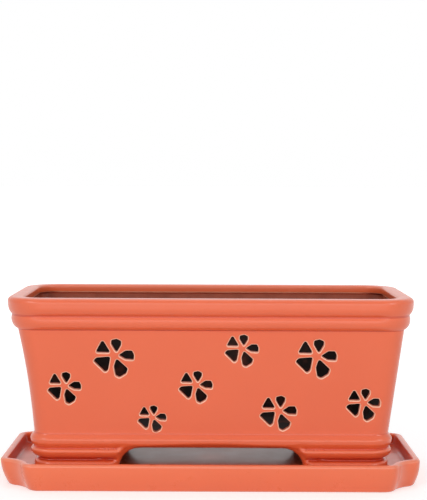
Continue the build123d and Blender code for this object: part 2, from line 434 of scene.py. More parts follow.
def planRing():
    # The pot's plan as unit arrays. A point is (ax (L - c) + nx c, ay (D - c) + ny c) for
    # half length L, half depth D and corner radius c, counted anticlockwise from the front
    # left corner.
    share = detail["archShare"]
    outer = np.linspace(-1, -share, detail["longStepsOutside"] + 1)
    inner = np.linspace(-share, share, detail["longStepsArch"] + 1)
    along = np.concatenate([outer[:-1], inner, -outer[::-1][1:]])
    short = np.linspace(-1, 1, detail["endSteps"] + 1)
    angle = np.linspace(0, math.pi / 2, detail["cornerSteps"] + 1)[1:-1]
    cosine, sine = np.cos(angle), np.sin(angle)
    flatLong, flatShort, flatCorner = [np.ones(len(part)) for part in (along, short, angle)]
    ax = np.concatenate([along, flatCorner, flatShort, flatCorner])
    ay = np.concatenate([-flatLong, -flatCorner, short, flatCorner])
    nx = np.concatenate([0 * along, sine, flatShort, cosine])
    ny = np.concatenate([-flatLong, -cosine, 0 * short, sine])
    # The other half is the same, turned half way round
    return [np.concatenate([half, -half]) for half in (ax, ay, nx, ny)], len(along), len(short)


(ringAx, ringAy, ringNx, ringNy), longCount, shortCount = planRing()
ringCount = len(ringAx)
halfLength = pot["rimLength"] / 2
halfDepth = pot["rimDepth"] / 2
wallHeight = pot["rollLow"] - pot["wallBase"]
wallMiddle = (pot["rollLow"] + pot["wallBase"]) / 2
middleSetback = (pot["wallTopSetback"] + pot["wallBaseSetback"]) / 2
wallLean = math.atan2(pot["wallBaseSetback"] - pot["wallTopSetback"], wallHeight)
normalThickness = pot["wallThickness"] * math.cos(wallLean)


def ringPoints(setback, corner, height):
    # Rings of the rounded plan, one for each setback, corner radius and height.
    setback, corner, height = np.broadcast_arrays(
        *[np.asarray(value, float).reshape(-1, 1) for value in (setback, corner, height)]
    )
    x = ringAx * (halfLength - setback - corner) + ringNx * corner
    y = ringAy * (halfDepth - setback - corner) + ringNy * corner
    return np.stack([x, y, np.broadcast_to(height, x.shape)], -1)


def outerCorner(setback, height):
    # Corner radius of the plan on the pot's outside: the wall's own radius, and a gain times
    # how far the mouldings stand out from the wall.
    gain = np.where(np.asarray(height) > wallMiddle, pot["rimCornerGain"], pot["footCornerGain"])
    return pot["wallCorner"] + gain * (wallSetback(height) - setback)


def wallRings(height, depth):
    # Rings of the plain wall, each point moved in along the wall's own normal by depth.
    # The normal of a leaning rounded corner is its plan normal, tipped by the lean times the
    # sum of the plan normal's parts.
    rings = ringPoints(wallSetback(height), pot["wallCorner"], height)
    tip = math.tan(wallLean) * (np.abs(ringNx) + np.abs(ringNy))
    normal = np.stack([ringNx, ringNy, -tip], -1)
    normal /= np.linalg.norm(normal, axis=-1, keepdims=True)
    return rings - depth * normal


def turned(points, quarter):
    # Points turned about Z by so many quarter turns, each (x, y) to (-y, x).
    x, y, z = points[..., 0], points[..., 1], points[..., 2]
    for _ in range(quarter):
        x, y = -y, x
    return np.stack([x, y, z], -1)


def inside(points, loop):
    # Which points (n, 2) lie inside a closed loop (m, 2), by counting crossings.
    x, y = points[:, :1], points[:, 1:]
    x0, y0 = loop[:, 0], loop[:, 1]
    x1, y1 = np.roll(x0, -1), np.roll(y0, -1)
    crosses = (y0 > y) != (y1 > y)
    level = np.where(y1 == y0, 1, y1 - y0)
    return (np.sum(crosses & (x < x0 + (y - y0) * (x1 - x0) / level), axis=1) % 2).astype(bool)


def lattice(loop, spacing):
    # Even points (n, 2) over the box round a loop.
    low, high = loop.min(axis=0), loop.max(axis=0)
    count = np.maximum(np.round((high - low) / spacing).astype(int), 1)
    places = [low[k] + (np.arange(count[k]) + 0.5) * (high[k] - low[k]) / count[k] for k in (0, 1)]
    return np.stack(np.meshgrid(*places), -1).reshape(-1, 2)


def fillFlat(loops, grid, clearance):
    # Triangles between an outer loop and the holes in it, over those points of a grid that
    # lie inside and clear of the loops. Returns the points (n, 2), the loops' points first,
    # and the triangles (m, 3).
    border = np.concatenate(loops)
    grid = grid[inside(grid, loops[0])]
    for hole in loops[1:]:
        grid = grid[~inside(grid, hole)]
    for block in np.array_split(border, max(1, len(border) // detail["borderBlock"])):
        gap = np.min(np.hypot(*(grid[:, None] - block[None]).transpose(2, 0, 1)), axis=1)
        grid = grid[gap > clearance]
    points = np.concatenate([border, grid])
    edges = []
    start = 0
    for loop in loops:
        index = np.arange(len(loop))
        edges.append(np.stack([start + index, start + (index + 1) % len(loop)], -1))
        start += len(loop)
    edges = np.concatenate(edges)
    found = delaunay_2d_cdt(
        [Vector(point) for point in points.tolist()], edges.tolist(), [], 0, detail["fillNear"]
    )
    places = np.array([tuple(point) for point in found[0]])
    triangles = np.array(found[2])
    first, second, third = places[triangles].transpose(1, 0, 2)
    across, along = second - first, third - first
    doubleArea = np.abs(across[:, 0] * along[:, 1] - across[:, 1] * along[:, 0])
    middle = places[triangles].mean(axis=1)
    # A sliver lies flat on the border, outside what is being filled
    kept = inside(middle, loops[0]) & (doubleArea > detail["sliver"])
    for hole in loops[1:]:
        kept &= ~inside(middle, hole)
    source = np.array([origin[0] for origin in found[3]])
    return points, source[triangles[kept]]


def fillEven(loops, fill):
    # The same, over a lattice of the spacing and clearance that fill gives.
    spacing, clearance = fill
    return fillFlat(loops, lattice(loops[0], spacing), clearance)


def roundedLoop(corners, radius, steps):
    # A closed polygon whose corners are arcs of one radius, anticlockwise or not as it
    # was given. Each arc is swung between its two tangent points.
    corners = np.asarray(corners, float)
    back = np.roll(corners, 1, axis=0) - corners
    ahead = np.roll(corners, -1, axis=0) - corners
    back /= np.linalg.norm(back, axis=1, keepdims=True)
    ahead /= np.linalg.norm(ahead, axis=1, keepdims=True)
    half = np.arccos(np.clip(np.sum(back * ahead, axis=1), -1, 1)) / 2
    middle = back + ahead
    middle /= np.linalg.norm(middle, axis=1, keepdims=True)
    center = corners + middle * (radius / np.sin(half))[:, None]
    reach = (radius / np.tan(half))[:, None]
    first = corners + back * reach - center
    last = corners + ahead * reach - center
    turn = (math.pi - 2 * half)[:, None, None]
    share = np.linspace(0, 1, steps + 1)[None, :, None]
    arc = np.sin((1 - share) * turn) * first[:, None] + np.sin(share * turn) * last[:, None]
    return (center[:, None] + arc / np.sin(turn)).reshape(-1, 2)


def evenLoop(loop, count):
    # A closed loop divided into count points at equal steps along it.
    ring = np.concatenate([loop, loop[:1]])
    length = np.concatenate([[0], np.cumsum(np.hypot(*np.diff(ring, axis=0).T))])
    where = np.linspace(0, length[-1], count, endpoint=False)
    return np.stack([np.interp(where, length, ring[:, axis]) for axis in (0, 1)], -1)


def softLoop(loop, passes):
    # A closed loop eased: each point becomes half itself and a quarter of each neighbour.
    for _ in range(passes):
        loop = 0.5 * loop + 0.25 * (np.roll(loop, 1, axis=0) + np.roll(loop, -1, axis=0))
    return loop


def outward(loop):
    # Unit normals of a closed anticlockwise loop, away from its inside: (dy, -dx) of the
    # line from the point before to the point after.
    along = np.roll(loop, -1, axis=0) - np.roll(loop, 1, axis=0)
    along /= np.linalg.norm(along, axis=1, keepdims=True)
    return np.stack([along[:, 1], -along[:, 0]], -1)


def anticlockwise(loop):
    # The loop, reversed if it runs clockwise, by the sign of its area.
    ahead = np.roll(loop, -1, axis=0)
    area = np.sum(loop[:, 0] * ahead[:, 1] - ahead[:, 0] * loop[:, 1])
    return loop if area > 0 else loop[::-1]


def petalLoops(flowers, halfSpan):
    # Every petal of one wall, as loops in the wall's own plane.
    loops = []
    for along, up, width in flowers:
        center = np.array([along * halfSpan, (up - 0.5) * wallHeight])
        size = width * wallHeight
        for corners, roundShare in petalShares:
            loop = roundedLoop(
                np.array(corners) * size, roundShare * size, detail["petalCornerSteps"]
            )
            loop = evenLoop(anticlockwise(loop), detail["petalFinePoints"])
            loop = evenLoop(softLoop(loop, detail["petalSoftPasses"]), detail["slotPoints"])
            loops.append(center + loop)
    return loops


def slotRounds(loops, border):
    # The radius of the softened edge at each point of each petal: less where the next
    # petal or the panel's border is near, then eased along the petal.
    rounds = []
    for index, loop in enumerate(loops):
        others = np.concatenate([border] + [other for k, other in enumerate(loops) if k != index])
        near = others[np.abs(others - loop.mean(axis=0)).max(axis=1) < detail["slotNear"]]
        gap = np.min(np.hypot(*(loop[:, None] - near[None]).transpose(2, 0, 1)), axis=1)
        edge = np.minimum(pot["slotRound"], pot["slotRoundShare"] * gap)
        for _ in range(detail["slotEasePasses"]):
            edge = np.minimum(edge, 0.5 * edge + 0.25 * (np.roll(edge, 1) + np.roll(edge, -1)))
        rounds.append(edge)
    return rounds


def addWallPanel(shell, quarter, halfSpan, halfFlat, flowers, sideShares, heights):
    # One leaning wall with its slots, inside and out, from the middle of one corner to the
    # middle of the next. A point of it is (u, v, d): u along the wall and on round the
    # corner's arc, v up its slope and d the depth below its face. The flat part sinks by the
    # dent times (1 - (u/U)^2)^2 (1 - w^2)^2, with w from -1 at the bottom to 1 at the top.
    cosine = math.cos(wallLean)
    slope = (heights - wallMiddle) / cosine
    low, high = slope[0], slope[-1]
    corner = pot["wallCorner"]

    def flatReach(v):
        # Half the flat part's length at v.
        return halfFlat - wallSetback(wallMiddle + v * cosine) - corner

    def place(flat, depth):
        # The point at (u, v), moved in by depth along the wall's normal there.
        u, v = flat[..., 0], flat[..., 1]
        height = wallMiddle + v * cosine
        reach = flatReach(v)
        turn = np.maximum(np.abs(u) - reach, 0) / corner
        level = (2 * v - low - high) / (high - low)
        share = np.minimum(np.abs(u) / reach, 1)
        dent = pot["wallDent"] * (1 - share**2) ** 2 * (1 - level**2) ** 2
        sine = np.sin(turn) * np.sign(u)
        x = np.clip(u, -reach, reach) + corner * sine
        y = -(halfSpan - wallSetback(height) - corner - dent + corner * np.cos(turn))
        normal = np.stack([sine, -np.cos(turn), 0 * u], -1)
        normal[..., 2] = -math.tan(wallLean) * np.abs(normal[..., :2]).sum(axis=-1)
        normal /= np.linalg.norm(normal, axis=-1, keepdims=True)
        depth = np.broadcast_to(np.asarray(depth, float)[..., None], normal.shape)
        return turned(np.stack([x, y, height], -1) - depth * normal, quarter)

    # Columns at the ring's own places along the flat part and round both half corners
    bend = np.linspace(0, math.pi / 4, detail["cornerSteps"] // 2 + 1)[1:] * corner
    flatShare = np.concatenate([-np.ones(len(bend)), sideShares, np.ones(len(bend))])
    past = np.concatenate([-bend[::-1], 0 * sideShares, bend])
    columns = flatShare * flatReach(slope)[:, None] + past
    grid = np.stack([columns, np.broadcast_to(slope[:, None], columns.shape)], -1)
    border = np.concatenate([grid[0, :-1], grid[:-1, -1], grid[-1, :0:-1], grid[:0:-1, 0]])
    petals = petalLoops(flowers, halfFlat - middleSetback)
    rounds = slotRounds(petals, evenLoop(border, detail["borderPoints"]))
    outer = [loop + outward(loop) * edge[:, None] for loop, edge in zip(petals, rounds)]
    middlePoints = grid[1:-1, 1:-1].reshape(-1, 2)
    flat, triangles = fillFlat([border] + outer, middlePoints, detail["slotClear"])
    addPatch(shell, place(flat, 0), triangles, 0)
    addPatch(shell, place(flat, normalThickness), triangles[:, ::-1], 0, 1)
    # A slot's sides: in by a quarter circle, straight through, and out by another
    for loop, edge in zip(petals, rounds):
        away = outward(loop)
        step = np.linspace(0, math.pi / 2, detail["slotOuterSteps"] + 1)[:, None]
        offset = edge * (1 - np.sin(step))
        depth = edge * (1 - np.cos(step))
        inner = np.linspace(math.pi / 2, 0, detail["slotInnerSteps"] + 1)[:, None]
        offset = np.concatenate([offset, edge * (1 - np.sin(inner))])
        depth = np.concatenate([depth, normalThickness - edge * (1 - np.cos(inner))])
        spread = loop[None] + away[None] * offset[..., None]
        thinAndShade = np.concatenate([np.sin(2 * step[:, 0]) ** 0.5, 0 * inner[:, 0]])
        thinAndShade[detail["slotOuterSteps"]] = pot["cutThin"]
        # From its inner round on, the slot's side is painted dark as shade
        paintedShade = np.concatenate([0 * step[:, 0], np.linspace(pot["cutShade"], 1, len(inner))])
        addGrid(shell, place(spread, depth), thinAndShade, closed=True, paintedShade=paintedShade)


def addWalls(shell):
    # The leaning walls: four slotted panels that meet in the middle of each corner.
    heights = np.linspace(pot["panelLow"], pot["panelHigh"], detail["wallLevels"] + 1)
    start = longCount + detail["cornerSteps"] - 1
    longShares, endShares = ringAx[:longCount], ringAy[start:start + shortCount]
    for quarter, flowers in ((0, frontFlowerShares), (2, backFlowerShares)):
        addWallPanel(shell, quarter, halfDepth, halfLength, flowers, longShares, heights)
    for quarter in (1, 3):
        addWallPanel(shell, quarter, halfLength, halfDepth, endFlowerShares, endShares, heights)


def cornerPath(corners, rounds, steps):
    # An open polyline of (setback, height) corners, with each inner corner an arc.
    corners = np.asarray(corners, float)
    points = [corners[:1]]
    for index, radius in enumerate(rounds, start=1):
        corner = corners[index]
        back = corners[index - 1] - corner
        ahead = corners[index + 1] - corner
        back /= np.linalg.norm(back)
        ahead /= np.linalg.norm(ahead)
        half = math.acos(np.clip(back @ ahead, -1, 1)) / 2
        middle = (back + ahead) / np.linalg.norm(back + ahead)
        center = corner + middle * radius / math.sin(half)
        first = corner + back * radius / math.tan(half) - center
        last = corner + ahead * radius / math.tan(half) - center
        turn = math.pi - 2 * half
        share = np.linspace(0, 1, steps + 1)[:, None]
        points.append(
            center + (np.sin((1 - share) * turn) * first + np.sin(share * turn) * last)
            / math.sin(turn)
        )
    points.append(corners[-1:])
    return np.concatenate(points)


def addRim(shell):
    # From the top of the slotted wall over the roll, band and lip, and down inside.
    low, steps, levels = pot["panelHigh"], detail["rimRoundSteps"], detail["insideLevels"]
    bandFlat = pot["rimHeight"] - pot["bandTopRound"] - pot["bandFlat"]
    heights = evenHeights(low, bandFlat, detail["rimLevels"])
    setback = potSetback(heights)
    outside = ringPoints(setback, outerCorner(setback, heights), heights)
    outside[0] = wallRings(np.array([[low]]), 0)[0]
    # Over the top: quarter circles at the outer and inner edge, then under the lip
    lipLow = pot["rimHeight"] - pot["lipHeight"]
    lipFoot = lipLow - pot["lipFoot"]
    innerSetback = wallSetback(lipLow) + pot["wallThickness"]
    section = cornerPath(
        [
            (setback[-1], bandFlat),
            (setback[-1], pot["rimHeight"]),
            (pot["lipSetback"], pot["rimHeight"]),
            (pot["lipSetback"], lipLow),
            (innerSetback, lipLow),
            (wallSetback(lipFoot) + pot["wallThickness"], lipFoot),
        ],
        [pot["bandTopRound"], pot["lipEdgeRound"], pot["lipLowRound"], pot["lipFootRound"]],
        steps,
    )
    # The mouth's corners are wide round ones, and under the lip they draw in to the wall's
    wallIn = pot["wallCorner"] - pot["wallThickness"]
    corner = np.interp(
        section[:, 0],
        [setback[-1], pot["lipSetback"]],
        [outerCorner(setback[-1], bandFlat), pot["mouthCorner"]],
    )
    below = np.arange(len(section)) > np.argmax(section[:, 0])
    under = np.interp(
        section[:, 0], [innerSetback, pot["lipSetback"]], [wallIn, pot["mouthCorner"]]
    )
    corner = np.where(below, under, corner)
    lastRound = steps + 2       # points of the section's last round, and its end
    corner[-lastRound:] = wallIn
    over = ringPoints(section[:, 0], corner, section[:, 1])
    down = wallRings(np.linspace(lipLow - pot["lipWall"], low, levels)[:, None], normalThickness)
    rings = np.concatenate([outside, over[1:], down])
    profile = np.concatenate([setback, section[1:, 0], np.full(levels, section[-1, 0])])
    # Under the lip the inside is painted dark as shade, darker further down
    shadeLevels = np.linspace(lipLow - pot["shadeLag"], low, levels)
    level = np.concatenate([heights, section[1:, 1], shadeLevels])
    thinAndShade = sectionThinAndShade(profile, level)
    thinAndShade[-levels - 1:] = 0
    under = np.arange(len(level)) >= len(level) - levels - detail["shadedPoints"]
    addGrid(shell, rings, thinAndShade, closed=True, paintedShade=np.where(under, paintedShadeAt(level), 0))


def addFloor(shell):
    # Inside, from the slotted wall down to the floor by a quarter circle, and the floor.
    low = pot["panelLow"]
    start = wallRings(np.array([[low]]), normalThickness)
    edge = pot["floorRound"]
    angle = np.linspace(0, math.pi / 2, detail["floorRoundSteps"] + 1)
    wallIn = wallSetback(pot["floorHeight"] + edge * pot["floorMeets"]) + pot["wallThickness"]
    away = edge * (1 - np.cos(angle))
    setback = wallIn + away
    height = pot["floorHeight"] + edge * (1 - np.sin(angle))
    corner = np.maximum(pot["wallCorner"] - pot["wallThickness"] - away, pot["floorCorner"])
    keep = height < low - pot["floorGap"]
    cove = ringPoints(setback[keep], corner[keep], height[keep])
    rings = np.concatenate([start, cove])
    # The inside wall and its cove are painted fully dark as shade
    addGrid(shell, rings, 0, closed=True, paintedShade=1)
    addPlate(shell, cove[-1], height[-1])


def addPlate(shell, floorRing, floorLevel):
    # The floor's upper face, the hollow's ceiling and the drain holes between them.
    turn = np.linspace(0, 2 * math.pi, detail["drainPoints"], endpoint=False)
    circle = np.stack([np.cos(turn), np.sin(turn)], -1)
    edge = pot["drainRound"]
    spots = np.array([(-1, 0), (0, 0), (1, 0)]) * pot["drainSpacing"]
    wide = [spot + circle * (pot["drainRadius"] + edge) for spot in spots]
    ceilingRing = ringPoints(pot["hollowSetback"], pot["hollowCorner"], pot["hollowHeight"])[0]
    # The floor, the hollow's ceiling and the drains are painted dark as shade
    for ring, level, paintedShade in (
        (floorRing, floorLevel, 1), (ceilingRing, pot["hollowHeight"], pot["hollowShade"])
    ):
        flat, triangles = fillEven([ring[:, :2]] + wide, detail["floorFill"])
        addPatch(shell, np.column_stack([flat, np.full(len(flat), level)]), triangles, 0, paintedShade)
    step = np.linspace(0, math.pi / 2, detail["drainSteps"] + 1)
    radius = pot["drainRadius"] + edge * (1 - np.sin(step))
    drop = edge * (1 - np.cos(step))
    radius = np.concatenate([radius, radius[::-1]])
    level = np.concatenate([floorLevel - drop, pot["hollowHeight"] + drop[::-1]])
    paintedShade = np.linspace(1, pot["hollowShade"], len(level))
    for spot in spots:
        spread = spot + circle[None] * radius[:, None, None]
        height = np.broadcast_to(level[:, None, None], spread.shape[:2] + (1,))
        addGrid(shell, np.concatenate([spread, height], -1), 0, closed=True, paintedShade=paintedShade)


def archOutline(levels, tops):
    # The arch's opening, as points (x, z) matched to the patch's outer border: levels
    # are shares up the left leg, tops are shares across, and the right leg mirrors it.
    radius = pot["archCorner"]
    half, base, top = pot["archHalfWidth"], pot["footHeight"], pot["archTop"]
    straight = top - radius - base
    arc = radius * math.pi / 4

    def trace(length):
        # The left half by length from its foot: a line, a quarter circle and a line.
        turn = np.clip((length - straight) / radius, 0, math.pi / 2)
        x = -half + radius * (1 - np.cos(turn)) + np.maximum(length - straight - 2 * arc, 0)
        z = base + np.minimum(length, straight) + radius * np.sin(turn)
        return np.stack([x, z], -1)

    legs = trace(levels * (straight + arc))
    whole = straight + 2 * arc + half - radius
    across = straight + arc + tops * (whole - straight - arc)
    left = trace(across)
    return np.concatenate([legs, left[1:]])


def upright(flat, out):
    # Points (x, z) of an upright plane, set in front of the middle by out.
    return np.stack([flat[:, 0], 0 * flat[:, 0] - out, flat[:, 1]], -1)


def addFoot(shell):
    # The moulded foot outside, the arches, the hollow and the foot's flat underside.
    base, high = pot["footHeight"], pot["panelLow"]
    levels = evenHeights(base, high, detail["footLevels"])
    setback = potSetback(levels)
    rings = ringPoints(setback, outerCorner(setback, levels), levels)
    rings[-1] = wallRings(np.array([[high]]), 0)[0]
    # Glaze runs down into the deepest groove and gathers there, and this paints shade into it
    depth = (setback - pot["wallBaseSetback"]) / np.max(setback - pot["wallBaseSetback"])
    thinAndShade = sectionThinAndShade(setback, levels) - smoothStep(*pot["pooledShadeShares"], depth)
    firstArch = detail["longStepsOutside"]
    lastArch = firstArch + detail["longStepsArch"]
    half = ringCount // 2
    for shift in (0, half):
        columns = (np.arange(lastArch, half + firstArch + 1) + shift) % ringCount
        addGrid(shell, rings[:, columns], thinAndShade)

    # The arch's patch: its rings run from the opening out to the moulded rings' edge
    leg = rings[:, firstArch]
    crown = rings[-1, firstArch:lastArch + 1]
    edge = np.concatenate([leg, crown[1:-1], leg[::-1] * (-1, 1, 1)])
    border = edge[:, [0, 2]]
    middle = detail["longStepsArch"] // 2
    shares = (levels - base) / (high - base)
    tops = np.linspace(0, 1, middle + 1)
    left = archOutline(shares, tops)
    opening = np.concatenate([left, left[::-1][1:] * (-1, 1)])
    way = border - opening
    reach = np.linalg.norm(way, axis=1)
    way /= reach[:, None]
    rise = smoothStep(base, pot["archTop"], opening[:, 1])
    width = pot["archRollSide"] + (pot["archRollTop"] - pot["archRollSide"]) * rise
    turn = np.linspace(0, math.pi / 2, detail["archRollSteps"] + 1)[:, None]
    rollOut = width * (1 - np.cos(turn))
    share = np.linspace(0, 1, detail["archPatchSteps"] + 1)[1:, None]
    away = np.concatenate([rollOut, width + (reach - width) * share])
    flat = opening[None] + way[None] * away[..., None]
    height = flat[..., 1]
    moulded = halfDepth - potSetback(height)
    # Beside the roll the foot's face is plain, with a quarter circle along its lower edge
    footRound = pot["footEdgeRound"]
    drop = np.clip((base + footRound - height) / footRound, 0, 1)
    plain = halfDepth - pot["wallBaseSetback"] + pot["archFaceOut"]
    plain = plain - footRound * (1 - np.sqrt(1 - drop**2))
    fadeTo = pot["archFadeSide"] + (pot["archFadeTop"] - pot["archFadeSide"]) * rise
    fade = smoothStep(pot["archFadeFrom"], fadeTo, away / width)
    face = plain + (moulded - plain) * fade
    landing = halfDepth - pot["hollowSetback"] + pot["archLand"]
    sink = np.concatenate([np.sin(turn) * np.ones_like(width), np.ones((len(share), len(width)))])
    y = -(landing + (face - landing) * sink)
    patch = np.stack([flat[..., 0], y, height], -1)
    patch[-1] = edge
    thinAndShadePatch = np.interp(height, levels, thinAndShade) * fade
    wallIn = halfDepth - pot["hollowSetback"]
    along = np.gradient(opening, axis=0)
    along /= np.linalg.norm(along, axis=1, keepdims=True)
    innerEdge = opening + pot["archLand"] * np.stack([-along[:, 1], along[:, 0]], -1)
    land = np.stack([upright(opening, landing), upright(innerEdge, wallIn)])

    # The hollow's upright walls, with the arches cut out of the front and back ones
    hollowLevels = np.linspace(base, pot["hollowHeight"], detail["hollowLevels"] + 1)
    hollow = ringPoints(pot["hollowSetback"], pot["hollowCorner"], hollowLevels)
    frontEnd = longCount - 1
    sides = np.arange(frontEnd, half + 1)
    frontTop = hollow[-1, :longCount]
    column = hollow[:, 0]
    frontLoop = np.concatenate(
        [
            column[:-1][:, [0, 2]],
            frontTop[:, [0, 2]],
            column[:-1][::-1][:, [0, 2]] * (-1, 1),
            innerEdge[::-1],
        ]
    )
    flatWall, wallTriangles = fillEven([frontLoop[::-1]], detail["hollowFill"])
    frontWall = upright(flatWall, wallIn)

    for quarter in (0, 2):
        addGrid(shell, turned(patch, quarter), thinAndShadePatch)
        # The land, the hollow's front wall and its sides are painted dark as shade
        addGrid(shell, turned(land, quarter), 0, paintedShade=[0, pot["hollowShade"]])
        addPatch(shell, turned(frontWall, quarter), wallTriangles, 0, pot["hollowShade"])
        addGrid(shell, turned(hollow[:, sides], quarter), 0, paintedShade=pot["hollowShade"])

    # The underside: one flat piece round each end, between the two arches
    outerFoot = rings[0, np.arange(lastArch, half + firstArch + 1)]
    innerFoot = hollow[0, frontEnd:half + 1]
    frontRoll = np.concatenate([patch[::-1, -1][1:], land[1:, -1]])
    backRoll = np.concatenate([turned(land[1:, 0], 2), turned(patch[:, 0], 2)[:-1]])
    sole = np.concatenate([outerFoot, backRoll[::-1], innerFoot[::-1], frontRoll[::-1]])
    flatSole, soleTriangles = fillEven([sole[:, :2]], detail["soleFill"])
    flatSole = np.column_stack([flatSole, np.full(len(flatSole), base)])
    for quarter in (0, 2):
        addPatch(shell, turned(flatSole, quarter), soleTriangles, 0)


def buildPot():
    # The pot's whole skin, piece by piece, welded into one shell.
    shell = newShell()
    addWalls(shell)
    print("pot walls and slots")
    addRim(shell)
    addFloor(shell)
    addFoot(shell)
    shell["points"] = [
        leaning(sunken(points), pot, pot["footHeight"], pot["rimHeight"])
        for points in shell["points"]
    ]
    return makePiece("pot_glazed", shell)


potPiece = buildPot()

trayLength, trayDepth, _, trayTop = nodeSize("saucer")

saucer = {
    "length": trayLength,
    "depth": trayDepth + 0.2,   # the lip's rounding takes this back
    "height": trayTop,
    "flare": 5.2,
    "bulge": 1.3,               # how far the walls swell outside half way up
    "wall": 5.2,
    "floorHeight": pot["footHeight"],
    "recessHeight": 7.5,        # underneath, inside the foot
    "footWidth": 5.4,
    "scoopRadius": 20.0,
    "tipRadius": 9.0,
    "innerTipRadius": 5.2,
    "innerPoolShade": 0.7,           # the inner walls are painted darker as shade, in the deep tone
    "floorPoolShade": 0.35,          # and on the floor
    "innerShade": 0.22,         # and both get a darker painted shade, which also dulls them
    "floorShade": 0.16,
    "footShift": 1.0,           # the walls lean: the foot lies this much right of the rim
    "lipRound": 1.8,
    "footRound": 1.6,
    "footInnerRound": 1.0,
    "floorRound": 2.6,
    "recessRound": 2.0,
    "sideSteps": 40,
    "endSteps": 12,
    "tipSteps": 8,
    "scoopSteps": 16,
    "roundSteps": 7,
    "sectionStep": 1.6,
    "flatMargin": 6.0,          # of the two flat faces, before their fills start
    "tipEase": (-2.0, 4.0),     # the tips draw in between these places, counted past the lip
    "shadeEase": (3.0, 6.0),     # and the painted shade sets in between these
    "floorEase": 5.0,           # and change to the floor's over this length
}


def trayRings(inset, tip):
    # Rings of the saucer's plan, in by inset. Each corner is a scoop, a circle about the
    # sharp corner, joined to the straight sides by two round tips that touch both: a tip's
    # centre is scoop + tip from the corner, and tip in from the side.
    inset, tip = [np.asarray(value, float).reshape(-1, 1) for value in (inset, tip)]
    halfX, halfY = saucer["length"] / 2, saucer["depth"] / 2
    scoop = saucer["scoopRadius"] + inset
    reach = np.sqrt((scoop + tip) ** 2 - (inset + tip) ** 2)
    tipTurn = np.arctan2(reach, inset + tip)
    share = np.linspace(0, 1, saucer["tipSteps"] + 1)[None, 1:]
    scoopShare = np.linspace(0, 1, saucer["scoopSteps"] + 1)[None, 1:]
    endShare = np.linspace(0, 1, saucer["endSteps"] + 1)[None]
    sideShare = np.linspace(1, 0, saucer["sideSteps"] + 1)[None, 1:]
    firstTurn = tipTurn * share
    scoopTurn = math.pi + tipTurn + (math.pi / 2 - 2 * tipTurn) * scoopShare
    lastTurn = math.pi / 2 - tipTurn * (1 - share)
    x = np.concatenate(
        [
            halfX - inset + 0 * endShare,
            halfX - inset - tip + tip * np.cos(firstTurn),
            halfX + scoop * np.cos(scoopTurn),
            halfX - reach + tip * np.cos(lastTurn),
            (halfX - reach) * sideShare,
        ],
        axis=1,
    )
    y = np.concatenate(
        [
            (halfY - reach) * endShare,
            halfY - reach + tip * np.sin(firstTurn),
            halfY + scoop * np.sin(scoopTurn),
            halfY - inset - tip + tip * np.sin(lastTurn),
            halfY - inset + 0 * sideShare,
        ],
        axis=1,
    )
    quarter = np.stack([x, y], -1)
    mirrored = quarter[:, ::-1] * (-1, 1)
    half = np.concatenate([quarter[:, :-1], mirrored[:, :-1]], axis=1)
    return np.concatenate([half, -half], axis=1)


def dividePath(path, step):
    # A path with points added along every part that is longer than step.
    parts = [path[:1]]
    for first, last in zip(path[:-1], path[1:]):
        count = max(1, int(np.linalg.norm(last - first) / step))
        parts.append(first + (last - first) * (np.arange(count) + 1)[:, None] / count)
    return np.concatenate(parts)


def buildSaucer():
    # The saucer's skin: rings of its plan carried along its section, and two flat fills.
    top, floor, recess = saucer["height"], saucer["floorHeight"], saucer["recessHeight"]
    footInset = saucer["flare"] + saucer["footWidth"]
    floorInset = saucer["wall"] + saucer["flare"] * (1 - floor / top)
    margin = saucer["flatMargin"]
    section = cornerPath(
        [
            (footInset + margin, recess), (footInset, recess), (footInset, 0),
            (saucer["flare"], 0), (0, top), (saucer["wall"], top), (floorInset, floor),
            (floorInset + margin, floor),
        ],
        [saucer[key] for key in (
            "recessRound", "footInnerRound", "footRound", "lipRound", "lipRound", "floorRound"
        )],
        saucer["roundSteps"],
    )
    section = dividePath(section, saucer["sectionStep"])
    inward = np.cumsum(np.hypot(*np.diff(section, axis=0, prepend=section[:1]).T))
    lip = inward[np.argmax(section[:, 1])]
    easeFrom, easeTo = saucer["tipEase"]
    drawnIn = smoothStep(easeFrom, easeTo, inward - lip)
    tip = saucer["tipRadius"] + (saucer["innerTipRadius"] - saucer["tipRadius"]) * drawnIn
    # Outside, the section swells by bulge * sin(pi * height / top)
    outside = (inward < lip) & (section[:, 0] <= saucer["flare"])
    swell = saucer["bulge"] * np.sin(math.pi * section[:, 1] / top) * outside
    rings = trayRings(section[:, 0] - swell, tip)
    height = np.broadcast_to(section[:, 1][:, None, None], rings.shape[:2] + (1,))
    shell = newShell()
    # Past the lip the inner walls and then the floor are painted darker as shade
    poolFrom, poolTo = saucer["shadeEase"]
    places = [lip + poolFrom, lip + poolTo, inward[-1] - saucer["floorEase"], inward[-1]]
    inner, onFloor = saucer["innerPoolShade"], saucer["floorPoolShade"]
    thinAndShade = sectionThinAndShade(*section.T) - np.interp(inward, places, [0, inner, inner, onFloor])
    inner, onFloor = saucer["innerShade"], saucer["floorShade"]
    paintedShade = np.interp(inward, places, [0, inner, inner, onFloor])
    addGrid(shell, np.concatenate([rings, height], -1), thinAndShade, closed=True, paintedShade=paintedShade)
    for ring, level, mark, paintedShade in (
        (rings[0], recess, 0, 0), (rings[-1], floor, -saucer["floorPoolShade"], onFloor)
    ):
        flat, triangles = fillEven([ring], detail["trayFill"])
        flat = np.column_stack([flat, np.full(len(flat), level)])
        addPatch(shell, flat, triangles, mark, paintedShade)
    shell["points"] = [leaning(points, saucer, 0, top) for points in shell["points"]]
    return makePiece("saucer_glazed", shell)


saucerPiece = buildSaucer()
print("pieces built")


